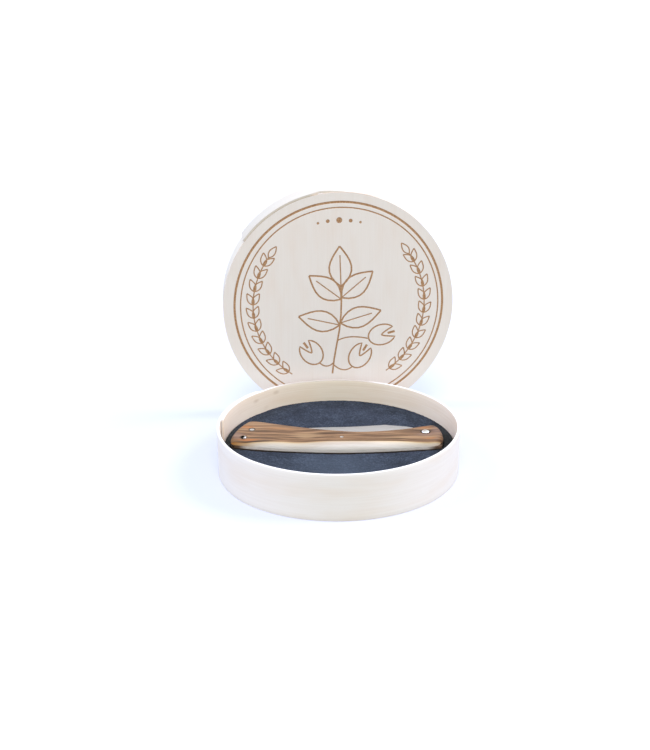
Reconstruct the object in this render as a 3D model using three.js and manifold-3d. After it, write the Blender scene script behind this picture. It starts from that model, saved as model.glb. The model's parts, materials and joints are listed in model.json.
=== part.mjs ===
// A closed folding pocket knife that lies half sunk in dark foam, in a round box of bent
// wood veneer, with the box's lid standing on its rim just behind it.
// Millimetres, +Z up. The origin is the centre of the box's underside, +X runs along the
// knife towards its pivot, and the lid stands on the +Y side.

import * as THREE from 'three';
import { mergeVertices } from 'three/addons/utils/BufferGeometryUtils.js';
import Module from 'manifold-3d';

const wasm = await Module();
wasm.setup();

// Driving dimensions of the box
const veneer = 1.15;
const baseRadius = 57.5;
const baseHeight = 22;
const floorThickness = 1.2;
const foamTop = 11;
const lidRadius = 59.3;
const lidDepth = 17;
const lidDiscThickness = 1.2;
const lidCentreX = 1.2;
const lidCentreY = 63.4;
const lidTurn = THREE.MathUtils.degToRad(6.5);

// Where the bent strips overlap themselves, in degrees around their box
const baseInnerEnd = 177;
const baseLap = 42;
const lidInnerEnd = 100;
const lidLap = 43;
const stripClimb = 16;
const lapEdgeRise = 4;

// The base is flattened a little at its seam: how far, and over how many degrees each way
const seamFlatness = 1.3;
const seamFlatCentre = 180;
const seamFlatReach = 50;

// Driving dimensions of the knife
const scaleThickness = 3.5;
const slotHeight = 1.45;
const bladeThickness = 1;
const edgeThickness = 0.3;
const roundingWidth = 2.2;
const roundingHeight = 3.1;
const bladeLift = 0.3;
const pivot = new THREE.Vector2(42, 2.6);
const buttPin = new THREE.Vector2(-40.5, 5.5);
const middlePin = new THREE.Vector2(2.2, -3.4);
const lanyardHole = new THREE.Vector2(-43.8, -3.6);
const pivotShankRadius = 1.5;
const pivotHeadRadius = 1.85;
const buttPinRadius = 1.15;
const middlePinRadius = 0.9;
const lanyardTubeRadius = 1.35;
const lanyardTubeWall = 0.45;
const tangRadius = 6;

// Straight sides that stand for a full turn of the box
const ringSides = 112;

// Clearances
const turnedGap = 0.3;
const seatGap = 0.05;
const lapGap = 0.15;
const pocketGap = 0.35;

// Heights in the stack, from the foam's pocket up to the handle's face
const lowerScaleTop = foamTop + seatGap;
const lowerScaleBottom = lowerScaleTop - scaleThickness;
const upperScaleBottom = lowerScaleTop + slotHeight;
const upperScaleTop = upperScaleBottom + scaleThickness;
const bladeBottom = foamTop + bladeLift;
const domeHeight = 0.55;
const pocketFloor = lowerScaleBottom - domeHeight - seatGap;

// Materials
const finish = (color, roughness, metalness = 0) =>
  new THREE.MeshStandardMaterial({ color, roughness, metalness });
const veneerWood = finish(0xe6ddd2, 0.7);
const foamGrey = finish(0x464c55, 0.95);
const handleWood = finish(0x9a7552, 0.45);
const polishedSteel = finish(0xc4c7cb, 0.3, 1);
const springSteel = finish(0x8e8f92, 0.4, 1);

// Turns a closed geometry into a solid that can be cut, and back
function toSolid(geometry) {
  const bare = geometry.index ? geometry.toNonIndexed() : geometry.clone();
  bare.deleteAttribute('normal');
  bare.deleteAttribute('uv');
  const merged = mergeVertices(bare, 1e-4);
  return new wasm.Manifold(new wasm.Mesh({
    numProp: 3,
    vertProperties: new Float32Array(merged.attributes.position.array),
    triVerts: new Uint32Array(merged.index.array),
  }));
}

function toGeometry(solid) {
  const { vertProperties, triVerts } = solid.getMesh();
  const geometry = new THREE.BufferGeometry();
  geometry.setAttribute('position', new THREE.BufferAttribute(new Float32Array(vertProperties), 3));
  geometry.setIndex(new THREE.BufferAttribute(new Uint32Array(triVerts), 1));
  geometry.computeVertexNormals();
  return geometry;
}

function cylinderBetween(centre, radius, bottom, top, sides = 24) {
  const geometry = new THREE.CylinderGeometry(radius, radius, top - bottom, sides);
  geometry.rotateX(Math.PI / 2);
  geometry.translate(centre.x, centre.y, (bottom + top) / 2);
  return geometry;
}

const pointsOf = (pairs) => pairs.map(([x, y]) => new THREE.Vector2(x, y));

// A flat piece between two heights, cut to a closed outline
function plate(outline, bottom, top) {
  const geometry = new THREE.ExtrudeGeometry(new THREE.Shape(outline), {
    depth: top - bottom,
    bevelEnabled: false,
  });
  geometry.translate(0, 0, bottom);
  return geometry;
}

// Moves a counter-clockwise outline inwards along its own normals
function inset(outline, distance) {
  return outline.map((point, i) => {
    const before = outline[(i + outline.length - 1) % outline.length];
    const after = outline[(i + 1) % outline.length];
    const along = after.clone().sub(before).normalize();
    return new THREE.Vector2(point.x - along.y * distance, point.y + along.x * distance);
  });
}

// A closed skin over stacked rings of equal point count, capped at both ends
function stackRings(rings) {
  const count = rings[0].points.length;
  const positions = rings.flatMap(({ points, height }) => points.flatMap((p) => [p.x, p.y, height]));
  const triangles = [];
  for (let ring = 0; ring + 1 < rings.length; ring += 1) {
    for (let i = 0; i < count; i += 1) {
      const next = (i + 1) % count;
      const low = ring * count;
      const high = low + count;
      triangles.push(low + i, low + next, high + next, low + i, high + next, high + i);
    }
  }
  const cap = (ring, flip) => {
    const first = ring * count;
    for (const [a, b, c] of THREE.ShapeUtils.triangulateShape(rings[ring].points, [])) {
      triangles.push(first + a, first + (flip ? c : b), first + (flip ? b : c));
    }
  };
  cap(0, true);
  cap(rings.length - 1, false);
  const geometry = new THREE.BufferGeometry();
  geometry.setAttribute('position', new THREE.Float32BufferAttribute(positions, 3));
  geometry.setIndex(triangles);
  geometry.computeVertexNormals();
  return geometry;
}

// How far the base's strip stands outside its ring, run degrees from its inner end: its
// inner layer dips inside the lap, and the whole wall is a little flat there
function baseShift(run) {
  const dip = (veneer + lapGap) * (1 - THREE.MathUtils.smoothstep(run, baseLap, baseLap + stripClimb));
  const turned = THREE.MathUtils.euclideanModulo(baseInnerEnd - run - seamFlatCentre + 180, 360) - 180;
  const flatTurn = Math.min(Math.abs(turned) / seamFlatReach, 1) * (Math.PI / 2);
  return -dip - seamFlatness * Math.cos(flatTurn) ** 2;
}

// The same for the lid's strip, whose outer layer climbs over the lap
function lidShift(run) {
  return (veneer + lapGap) * THREE.MathUtils.smoothstep(run, 360 - stripClimb, 360);
}

// A strip of veneer bent into a ring that runs once round and laps over its own start.
// direction is 1 or -1: the way round in which the strip leaves its inner end.
function bentStrip({ innerRadius, innerEnd, lap, direction, shift, bottom, top, lapTop = top }) {
  const step = 360 / ringSides;
  const steps = Math.round((360 + lap) / step);
  const corners = [];
  for (let i = 0; i <= steps; i += 1) {
    const run = i * step;
    const angle = THREE.MathUtils.degToRad(innerEnd + direction * run);
    const inner = innerRadius + shift(run);
    const edgeRise = THREE.MathUtils.smoothstep(run, 360, 360 + lapEdgeRise);
    const upper = THREE.MathUtils.lerp(top, lapTop, edgeRise);
    for (const [radius, height] of [[inner, bottom], [inner + veneer, bottom],
      [inner + veneer, upper], [inner, upper]]) {
      corners.push(radius * Math.cos(angle), radius * Math.sin(angle), height);
    }
  }
  const triangles = [];
  const quad = (a, b, c, d) => {
    if (direction > 0) triangles.push(a, c, b, a, d, c);
    else triangles.push(a, b, c, a, c, d);
  };
  for (let i = 0; i < steps; i += 1) {
    for (let side = 0; side < 4; side += 1) {
      const next = (side + 1) % 4;
      quad(i * 4 + side, i * 4 + next, i * 4 + 4 + next, i * 4 + 4 + side);
    }
  }
  quad(3, 2, 1, 0);
  quad(steps * 4, steps * 4 + 1, steps * 4 + 2, steps * 4 + 3);
  const geometry = new THREE.BufferGeometry();
  geometry.setAttribute('position', new THREE.Float32BufferAttribute(corners, 3));
  geometry.setIndex(triangles);
  geometry.computeVertexNormals();
  return geometry;
}

// Outline of the handle, seen from above and counter-clockwise: a gently bowed back on the
// -Y side, a waisted side that the blade fills, a wide slanting butt and a rounded pivot end
function handleOutline() {
  const shape = new THREE.Shape();
  shape.moveTo(-48.4, -5.2);
  shape.splineThru(pointsOf([[-43, -6.5], [-32, -8.5], [-15, -10.4], [2.5, -11.2], [20, -10.2], [36, -8.2],
    [43.6, -7.2]]));
  shape.bezierCurveTo(48, -6.6, 50.2, -3.4, 50.3, 0.6);
  shape.bezierCurveTo(50.4, 5.2, 49.4, 12, 45.4, 12.1);
  shape.splineThru(pointsOf([[40, 10.4], [32, 7.5], [21, 5.2], [10, 4.3], [0, 5.6], [-11, 8], [-22, 11.2],
    [-32, 14.6], [-38.5, 16.8]]));
  shape.bezierCurveTo(-41.6, 17.8, -43.7, 16.7, -45, 13.8);
  shape.splineThru(pointsOf([[-47.6, 8], [-49.4, 1.6], [-50, -1.8]]));
  shape.bezierCurveTo(-50.2, -3.6, -49.8, -4.8, -48.4, -5.2);
  return shape.getSpacedPoints(128).slice(0, -1);
}

const outline = handleOutline();

// What goes through the handle, besides the pivot
const buttFixings = [
  [buttPin, buttPinRadius],
  [middlePin, middlePinRadius],
  [lanyardHole, lanyardTubeRadius],
];

// Bores a clearance hole right through for each [centre, radius] of a pin
function drill(solid, pins) {
  return pins.reduce((left, [centre, radius]) => left.subtract(toSolid(
    cylinderBetween(centre, radius + turnedGap, lowerScaleBottom - 1, upperScaleTop + 1),
  )), solid);
}

// A wooden scale: one flat side against the slot, and rounded edges on its outer side
function handleScale(slotSide, outerSide) {
  const outward = Math.sign(outerSide - slotSide);
  const rounding = 4;
  const rings = [{ points: outline, height: slotSide }];
  for (let i = 0; i <= rounding; i += 1) {
    const turn = (i / rounding) * (Math.PI / 2);
    rings.push({
      points: inset(outline, roundingWidth * (1 - Math.cos(turn))),
      height: outerSide - outward * roundingHeight * (1 - Math.sin(turn)),
    });
  }
  if (outward < 0) rings.reverse();
  const solid = toSolid(stackRings(rings));
  return toGeometry(drill(solid, [[pivot, pivotShankRadius], ...buttFixings]));
}

// The steel back spring fills the slot along the handle's back, flush with the wood, and all
// of the butt, and stays outside the arc that the blade's tip sweeps
function backSpring() {
  const tipSweep = 79.6;
  const tipArc = (y) => new THREE.Vector2(pivot.x - Math.sqrt(tipSweep ** 2 - (y - pivot.y) ** 2), y);
  const shape = new THREE.Shape();
  shape.moveTo(-48.2, -5.1);
  shape.splineThru(pointsOf([[-43, -6.4], [-32, -8.4], [-15, -10.3], [2.5, -11.1], [20, -10.1], [36, -8.1],
    [43.6, -7.1]]));
  shape.lineTo(48.9, -6.3);
  shape.lineTo(49.4, -4.4);
  shape.splineThru(pointsOf([[36, -4.2], [24, -3.6], [12, -2.2], [2.2, -1.5], [-8, -1.9], [-22, -2.4],
    [-35, -2.2]]));
  shape.splineThru([-1, 2.5, 6, 9.6].map(tipArc));
  shape.bezierCurveTo(-38.4, 12.6, -43, 12.8, -45, 9.6);
  shape.splineThru(pointsOf([[-48.2, 3], [-49.2, -2]]));
  shape.lineTo(-48.2, -5.1);
  const spring = plate(shape.getPoints(8), lowerScaleTop + seatGap, upperScaleBottom - seatGap);
  return toGeometry(drill(toSolid(spring), buttFixings));
}

// The blade, shut: its back stands out of the handle's waist, almost straight up to a slight
// corner, and falls from there to the pivot.
// Each station across it is a flat back that thins in a wedge down to the cutting edge,
// and the grind ends before the pivot, where the section is flat right across.
function blade() {
  const back = new THREE.SplineCurve(pointsOf([[-35.6, 1], [-26, 9.4], [-18, 14.2], [-11, 16], [6, 17.1],
    [20, 18.9], [23.4, 19.5], [26.8, 18.9], [36.5, 16.4], [41, 11.4]]));
  const edge = new THREE.SplineCurve(pointsOf([[-35.8, 0.4], [-26, -0.5], [-18, -0.7], [-8, -0.7], [6, -0.5],
    [19, -0.7], [23.4, -0.7], [27, -0.8], [35, -1.6], [38, -2]]));
  const stations = 36;
  const middle = bladeBottom + bladeThickness / 2;
  const rings = [];
  for (let i = 0; i <= stations; i += 1) {
    const top = back.getPoint(i / stations);
    const low = edge.getPoint(i / stations);
    const unground = THREE.MathUtils.smoothstep(low.x, 30, 33);
    const wedge = top.clone().lerp(low, THREE.MathUtils.lerp(0.3, 0.99, unground));
    const half = bladeThickness / 2;
    const thin = THREE.MathUtils.lerp(edgeThickness / 2, half, unground);
    rings.push([[top, half], [wedge, half], [low, thin], [low, -thin], [wedge, -half], [top, -half]]
      .flatMap(([p, z]) => [p.x, p.y, middle + z]));
  }
  const triangles = [];
  for (let i = 0; i < stations; i += 1) {
    for (let side = 0; side < 6; side += 1) {
      const a = i * 6 + side;
      const b = i * 6 + ((side + 1) % 6);
      triangles.push(a, b, b + 6, a, b + 6, a + 6);
    }
  }
  const last = stations * 6;
  for (const [a, b, c] of [[0, 1, 2], [0, 2, 3], [0, 3, 5], [3, 4, 5]]) {
    triangles.push(a, c, b, last + a, last + b, last + c);
  }
  const geometry = new THREE.BufferGeometry();
  geometry.setAttribute('position', new THREE.Float32BufferAttribute(rings.flat(), 3));
  geometry.setIndex(triangles);
  const tang = cylinderBetween(pivot, tangRadius, bladeBottom, bladeBottom + bladeThickness, 40);
  return toGeometry(drill(toSolid(geometry).add(toSolid(tang)), [[pivot, pivotShankRadius]]));
}

// The pivot rivet has a low dome at each end, over the handle's faces
function pivotRivet() {
  const dome = (centre, direction) => [0, 1, 2, 3, 4].map((i) => {
    const turn = (i / 4) * (Math.PI / 2);
    const height = centre + direction * domeHeight * Math.cos(turn);
    return new THREE.Vector2(pivotHeadRadius * Math.sin(turn), height);
  });
  const upperSeat = upperScaleTop + seatGap;
  const lowerSeat = lowerScaleBottom - seatGap;
  const profile = [
    ...dome(lowerSeat, -1),
    new THREE.Vector2(pivotShankRadius, lowerSeat),
    new THREE.Vector2(pivotShankRadius, upperSeat),
    ...dome(upperSeat, 1).reverse(),
  ];
  profile[0].x = 0;
  profile[profile.length - 1].x = 0;
  const geometry = new THREE.LatheGeometry(profile, 24);
  geometry.rotateX(Math.PI / 2);
  geometry.translate(pivot.x, pivot.y, 0);
  return toGeometry(toSolid(geometry));
}

// A metal tube lines the lanyard hole
function lanyardTube() {
  const bore = lanyardTubeRadius - lanyardTubeWall;
  const profile = [
    new THREE.Vector2(bore, lowerScaleBottom),
    new THREE.Vector2(lanyardTubeRadius, lowerScaleBottom),
    new THREE.Vector2(lanyardTubeRadius, upperScaleTop),
    new THREE.Vector2(bore, upperScaleTop),
    new THREE.Vector2(bore, lowerScaleBottom),
  ];
  const geometry = new THREE.LatheGeometry(profile, 24);
  geometry.rotateX(Math.PI / 2);
  geometry.translate(lanyardHole.x, lanyardHole.y, 0);
  return toGeometry(toSolid(geometry));
}

// A round plate that fits inside the base's band, stepped where the strip's inner end dips in
function insideBase(bottom, top) {
  const radius = baseRadius - veneer - turnedGap;
  const stepAngle = THREE.MathUtils.degToRad(baseInnerEnd) + turnedGap / radius;
  const at = (angle, reach) => new THREE.Vector2(reach * Math.cos(angle), reach * Math.sin(angle));
  const points = [at(stepAngle, radius + baseShift(360)), at(stepAngle, radius + baseShift(0))];
  for (let i = 1; i < ringSides; i += 1) {
    const run = i * (360 / ringSides);
    const angle = THREE.MathUtils.degToRad(baseInnerEnd - run);
    points.push(at(angle, radius + baseShift(run)));
  }
  return plate(points.reverse(), bottom, top);
}

// Foam disc with a pocket cut to the handle's outline
function foamInsert() {
  const disc = toSolid(insideBase(floorThickness + seatGap, foamTop));
  const pocket = toSolid(plate(inset(outline, -pocketGap), pocketFloor, foamTop + 1));
  return toGeometry(disc.subtract(pocket));
}

function part(name, geometry, material) {
  const mesh = new THREE.Mesh(geometry, material);
  mesh.name = name;
  return mesh;
}

const group = new THREE.Group();

const base = new THREE.Group();
base.add(part('base_floor', insideBase(0, floorThickness), veneerWood));
base.add(part('base_band', bentStrip({
  innerRadius: baseRadius - veneer,
  innerEnd: baseInnerEnd,
  lap: baseLap,
  direction: -1,
  shift: baseShift,
  bottom: 0,
  top: baseHeight,
}), veneerWood));
base.add(part('foam_insert', foamInsert(), foamGrey));
group.add(base);

const knife = new THREE.Group();
knife.add(part('lower_scale', handleScale(lowerScaleTop, lowerScaleBottom), handleWood));
knife.add(part('upper_scale', handleScale(upperScaleBottom, upperScaleTop), handleWood));
knife.add(part('back_spring', backSpring(), springSteel));
knife.add(part('blade', blade(), polishedSteel));
knife.add(part('pivot_rivet', pivotRivet(), polishedSteel));
const throughPin = (centre, radius) => cylinderBetween(centre, radius, lowerScaleBottom, upperScaleTop, 20);
knife.add(part('butt_pin', throughPin(buttPin, buttPinRadius), polishedSteel));
knife.add(part('middle_pin', throughPin(middlePin, middlePinRadius), polishedSteel));
knife.add(part('lanyard_tube', lanyardTube(), polishedSteel));
group.add(knife);

// The lid is made face up round its own axis, then stood on its rim and turned
const lid = new THREE.Group();
const lidDisc = cylinderBetween(new THREE.Vector2(), lidRadius, -lidDiscThickness, 0, ringSides);
lid.add(part('lid_disc', lidDisc, veneerWood));
lid.add(part('lid_band', bentStrip({
  innerRadius: lidRadius - veneer,
  innerEnd: lidInnerEnd,
  lap: lidLap,
  direction: 1,
  shift: lidShift,
  bottom: -lidDepth,
  top: -lidDiscThickness - turnedGap,
  lapTop: 0,
}), veneerWood));
lid.rotation.order = 'ZYX';
lid.rotation.set(Math.PI / 2, 0, lidTurn);
lid.position.set(lidCentreX, lidCentreY, lidRadius);
group.add(lid);

export default group;
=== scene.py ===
# A closed pocket knife with a two-tone wooden handle, half sunk in dark foam in a round box of
# bent poplar veneer, with the box's engraved lid standing on its rim behind it.
import json
import math

import bpy
from mathutils import Matrix, Vector, noise
from mathutils.geometry import interpolate_bezier

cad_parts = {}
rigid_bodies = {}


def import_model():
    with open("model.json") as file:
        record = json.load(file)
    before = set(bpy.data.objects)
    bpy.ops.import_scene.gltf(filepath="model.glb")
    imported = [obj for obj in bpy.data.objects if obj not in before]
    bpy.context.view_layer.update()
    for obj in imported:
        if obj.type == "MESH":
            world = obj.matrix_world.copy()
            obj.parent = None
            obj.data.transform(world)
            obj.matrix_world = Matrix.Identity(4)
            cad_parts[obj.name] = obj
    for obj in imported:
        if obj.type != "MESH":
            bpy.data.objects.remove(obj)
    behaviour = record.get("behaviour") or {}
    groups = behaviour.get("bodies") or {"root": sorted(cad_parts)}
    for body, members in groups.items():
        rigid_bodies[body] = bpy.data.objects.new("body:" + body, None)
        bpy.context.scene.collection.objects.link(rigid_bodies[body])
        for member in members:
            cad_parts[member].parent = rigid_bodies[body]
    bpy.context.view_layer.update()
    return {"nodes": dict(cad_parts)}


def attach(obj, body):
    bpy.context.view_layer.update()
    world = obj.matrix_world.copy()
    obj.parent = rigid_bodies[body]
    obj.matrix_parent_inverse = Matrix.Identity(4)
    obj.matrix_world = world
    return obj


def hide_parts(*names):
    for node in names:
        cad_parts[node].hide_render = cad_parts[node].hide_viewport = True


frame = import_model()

mm = 0.001
print("frame loaded:", len(frame["nodes"]), "nodes")


# Small helpers for selecting, modifiers and materials

def makeActive(thing):
    bpy.ops.object.select_all(action="DESELECT")
    thing.select_set(True)
    bpy.context.view_layer.objects.active = thing


def applyModifier(thing, kind, **settings):
    makeActive(thing)
    modifier = thing.modifiers.new(kind.lower(), kind)
    for name, value in settings.items():
        setattr(modifier, name, value)
    bpy.ops.object.modifier_apply(modifier=modifier.name)


def easeEdges(piece, width, segments=2, degrees=60):
    applyModifier(piece, "BEVEL", width=width * mm, segments=segments, limit_method="ANGLE",
                  angle_limit=math.radians(degrees))


def smooth(thing, degrees=35):
    makeActive(thing)
    bpy.ops.object.shade_smooth_by_angle(angle=math.radians(degrees))


def finishPiece(piece, body, nodeName, material):
    piece.data.materials.clear()
    piece.data.materials.append(material)
    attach(piece, body)
    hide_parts(nodeName)


def smoothStep(value, start, end):
    t = min(max((value - start) / (end - start), 0), 1)
    return t * t * (3 - 2 * t)


def linear(hexColour):
    channels = [int(hexColour[i:i + 2], 16) / 255 for i in (1, 3, 5)]
    return tuple(c / 12.92 if c <= 0.04045 else ((c + 0.055) / 1.055) ** 2.4 for c in channels) + (1,)


# Adds a node: settings are its own properties, values and links go to its sockets, by name or
# number, and stops are a colour ramp's places and hex colours
def addNode(tree, kind, values=None, links=None, stops=None, **settings):
    node = tree.nodes.new("ShaderNode" + kind)
    for name, value in settings.items():
        setattr(node, name, value)
    for name, value in (values or {}).items():
        node.inputs[name].default_value = value
    for name, source in (links or {}).items():
        tree.links.new(source, node.inputs[name])
    if stops:
        ramp = node.color_ramp
        while len(ramp.elements) < len(stops):
            ramp.elements.new(1)
        for element, (place, hexColour) in zip(ramp.elements, stops):
            element.position = place
            element.color = linear(hexColour)
    return node


def newMaterial(name, sockets):
    material = bpy.data.materials.new(name)
    material.use_nodes = True
    shader = material.node_tree.nodes["Principled BSDF"]
    for socket, value in sockets.items():
        shader.inputs[socket].default_value = value
    return material, material.node_tree, shader


# A piece's own coordinates, in millimetres
def placeInMillimetres(tree):
    place = addNode(tree, "TexCoord").outputs["Object"]
    return addNode(tree, "Mapping", links={"Vector": place}, values={
        "Scale": (1 / mm, 1 / mm, 1 / mm)}).outputs[0]


# Noise whose lumps have the given lengths along x, y and z
def stretchedNoise(tree, place, lengths, **values):
    squeezed = addNode(tree, "Mapping", links={"Vector": place}, values={
        "Scale": [1 / length for length in lengths]})
    return addNode(tree, "TexNoise", links={"Vector": squeezed.outputs[0]},
                   values={"Scale": 1, **values})


# How far a value is from a middle, either way
def distanceFrom(tree, value, middle=0):
    offset = addNode(tree, "Math", operation="SUBTRACT", links={0: value}, values={1: middle})
    return addNode(tree, "Math", operation="ABSOLUTE", links={0: offset.outputs[0]}).outputs[0]


# A mask by that distance: nothing at the first one in fade, and full at the second
def bandMask(tree, value, fade, middle=0, strength=1):
    return addNode(tree, "MapRange", interpolation_type="SMOOTHSTEP", links={
        "Value": distanceFrom(tree, value, middle)}, values={
            "From Min": fade[0], "From Max": fade[1], "To Max": strength}).outputs["Result"]


# A mask of one oval spot, which is its x, y, half length, half width and strength. Its fade is as
# above, in half sizes of the spot.
def spotMask(tree, place, spot, fade):
    x, y, halfLength, halfWidth, strength = spot
    away = addNode(tree, "VectorMath", operation="SUBTRACT", links={0: place},
                   values={1: (x, y, 0)})
    shrunk = addNode(tree, "VectorMath", operation="MULTIPLY", links={0: away.outputs[0]},
                     values={1: (1 / halfLength, 1 / halfWidth, 0)})
    reach = addNode(tree, "VectorMath", operation="LENGTH", links={0: shrunk.outputs[0]})
    return addNode(tree, "MapRange", interpolation_type="SMOOTHSTEP", links={
        "Value": reach.outputs["Value"]}, values={
            "From Min": fade[0], "From Max": fade[1], "To Max": strength}).outputs["Result"]


def paintSpots(tree, colour, place, spots, fade, tint):
    for spot in spots:
        colour = addNode(tree, "MixRGB", links={
            "Fac": spotMask(tree, place, spot, fade), "Color1": colour},
            values={"Color2": linear(tint)}).outputs["Color"]
    return colour


# Gives the shader its colour and a fine relief, whose depth is in millimetres
def dress(tree, shader, colour, relief, strength, depth):
    tree.links.new(colour, shader.inputs["Base Color"])
    bump = addNode(tree, "Bump", links={"Height": relief}, values={
        "Strength": strength, "Distance": depth * mm})
    tree.links.new(bump.outputs["Normal"], shader.inputs["Normal"])


# Copies a solid of the frame, joined up, and with its flat faces in one piece
def copyOfNode(nodeName, pieceName, dissolve=0.4):
    piece = bpy.data.objects.new(pieceName, frame["nodes"][nodeName].data.copy())
    bpy.context.scene.collection.objects.link(piece)
    makeActive(piece)
    bpy.ops.object.mode_set(mode="EDIT")
    bpy.ops.mesh.select_all(action="SELECT")
    bpy.ops.mesh.remove_doubles(threshold=0.001 * mm)
    bpy.ops.mesh.dissolve_limited(angle_limit=math.radians(dissolve))
    bpy.ops.object.mode_set(mode="OBJECT")
    return piece


# Camera: it stands where the photograph was taken from

cameraPlace = {
    "height": 0.21754,  # metres, as the distance is
    "distance": 0.46755,
    "pitch": 20.193,  # degrees below the horizon
    "turn": 0.670,
    "roll": -0.292,
    "lens": 51.66,  # mm, as the sensor is
    "sensor": 36,
}


def addCamera(place):
    bpy.ops.object.camera_add()
    camera = bpy.context.object
    camera.name = "camera"
    camera.data.sensor_width = place["sensor"]
    camera.data.lens = place["lens"]
    camera.data.clip_start = 0.01
    camera.data.clip_end = 100
    camera.matrix_world = (
        Matrix.Translation((0, -place["distance"], place["height"]))
        @ Matrix.Rotation(math.radians(place["turn"]), 4, "Z")
        @ Matrix.Rotation(math.radians(90 - place["pitch"]), 4, "X")
        @ Matrix.Rotation(math.radians(place["roll"]), 4, "Z")
    )
    bpy.context.scene.camera = camera


addCamera(cameraPlace)
print("camera placed")


# Studio: a white table in a white tent, overexposed as in the photograph. Wide soft lights stand
# right, left and high in front, far enough off to light the whole table alike. The table and the
# side lights are a little blue, which shows in the soft shadows left of the box.

studio = {
    "tentColour": "#EEFFFD",
    "bounceColour": "#BAB3AC",  # what comes back up from the table
    "horizon": (-0.08, -0.03),  # the tent's lower part goes over to its upper part between these
    "tentStrength": 0.98,
    "tableColour": "#D2D4E2",
    "tableSize": 30,
    "lights": [
        # name, where it stands from the box, how wide it looks in degrees, strength, colour
        ("right softbox", (0.99, 0.14, 0.84), 30, 1.92, "#EBE6FF"),
        ("left softbox", (-1.0, 0.0, 0.84), 30, 1.52, "#CCD0FF"),
        ("front softbox", (0.0, -1.0, 1.5), 30, 1.3, "#FFF0EA"),
    ],
}


def addStudio(look):
    scene = bpy.context.scene
    scene.view_settings.view_transform = "Standard"
    world = bpy.data.worlds.new("white tent")
    world.use_nodes = True
    tree = world.node_tree
    direction = addNode(tree, "SeparateXYZ", links={
        "Vector": addNode(tree, "TexCoord").outputs["Generated"]})
    above = addNode(tree, "MapRange", links={"Value": direction.outputs["Z"]}, values={
        "From Min": look["horizon"][0], "From Max": look["horizon"][1]})
    tent = addNode(tree, "MixRGB", links={"Fac": above.outputs["Result"]}, values={
        "Color1": linear(look["bounceColour"]), "Color2": linear(look["tentColour"])})
    sky = tree.nodes["Background"]
    tree.links.new(tent.outputs["Color"], sky.inputs["Color"])
    sky.inputs["Strength"].default_value = look["tentStrength"]
    scene.world = world

    bpy.ops.mesh.primitive_plane_add(size=look["tableSize"])
    table = bpy.context.object
    table.name = "table"
    laminate = newMaterial("white laminate, matt", {
        "Base Color": linear(look["tableColour"]), "Roughness": 0.9, "Specular IOR Level": 0.1})[0]
    table.data.materials.append(laminate)
    table.visible_diffuse = False  # the tent's lower half stands in for its soft bounce

    for name, place, width, strength, colour in look["lights"]:
        bpy.ops.object.light_add(type="SUN", location=place)
        light = bpy.context.object
        light.name = name
        light.data.angle = math.radians(width)
        light.data.energy = strength
        light.data.color = linear(colour)[:3]
        light.rotation_euler = (-Vector(place)).to_track_quat("-Z", "Y").to_euler()


addStudio(studio)
print("studio lit")


# Veneer: raw poplar, peeled and lightly sanded. It is pale and matt, with soft long streaks
# along its fibre, faint warm patches and here and there a small brown fleck. Its pattern reads
# the piece's own attribute "sheet", millimetres on the flat sheet: x along the fibre, y across
# it, and z through the sheet, where the piece was bent after it was drawn.

veneer = {
    # mm between changes along the fibre, across it and through the sheet. Across, the streaks
    # are three times as wide as the real fibre, so that they show.
    "streakSize": (34, 0.9, 20),
    "patchSize": (30, 9, 20),
    "fleckSize": (1.64, 0.9),  # mm, half of it each way
    "fleckFade": (1.8, 0.11),
    "fleckColour": "#A9855F",
    "grainDepth": 0.02,  # mm
    "warm": "#F6E6D4",
    "warmth": 0.3,
    "faces": (0.3, 0.85),  # depths in the sheet where the inner colour goes over to the outer
}


# The cut upper edge is paler than the faces, and darker round one place at the back of the box
def paintRim(tree, wood, apart, rim):
    darkened = bandMask(tree, apart.outputs["X"], rim["darkerReach"], middle=rim["darkerMiddle"])
    cutEdge = addNode(tree, "MixRGB", links={"Fac": darkened}, values={
        "Color1": linear(rim["pale"]), "Color2": linear(rim["darkerTone"])})
    upper = addNode(tree, "MapRange", links={"Value": apart.outputs["Y"]}, values={
        "From Min": rim["levels"][0], "From Max": rim["levels"][1]})
    return addNode(tree, "MixRGB", links={
        "Fac": upper.outputs["Result"], "Color1": wood,
        "Color2": cutEdge.outputs["Color"]}).outputs["Color"]


# Engraved by laser: the sheet is scorched brown wherever it is below its face, and a little at
# the top of its rim, where the laser cut it out
def paintScorch(tree, wood, sheet, apart, burnt):
    char = addNode(tree, "TexNoise", links={"Vector": sheet}, values={
        "Scale": 1 / burnt["charSize"], "Detail": 3})
    scorch = addNode(tree, "ValToRGB", links={"Fac": char.outputs["Fac"]},
                     stops=[(0.35, burnt["dark"]), (0.65, burnt["light"])])
    belowFace, aboveBack = [addNode(tree, "MapRange", links={"Value": apart.outputs["Z"]}, values={
        "From Min": start, "From Max": end}) for start, end in burnt["depths"]]
    engraved = addNode(tree, "Math", operation="MULTIPLY", links={
        0: belowFace.outputs["Result"], 1: aboveBack.outputs["Result"]})
    cutOut = addNode(tree, "Math", operation="MULTIPLY", links={
        0: spotMask(tree, sheet, burnt["rim"], burnt["rimFade"]),
        1: spotMask(tree, sheet, burnt["rimTop"], burnt["rimTopFade"])})
    both = addNode(tree, "Math", operation="MAXIMUM", links={
        0: engraved.outputs[0], 1: cutOut.outputs[0]})
    return addNode(tree, "MixRGB", links={
        "Fac": both.outputs[0], "Color1": wood,
        "Color2": scorch.outputs["Color"]}).outputs["Color"]


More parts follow.
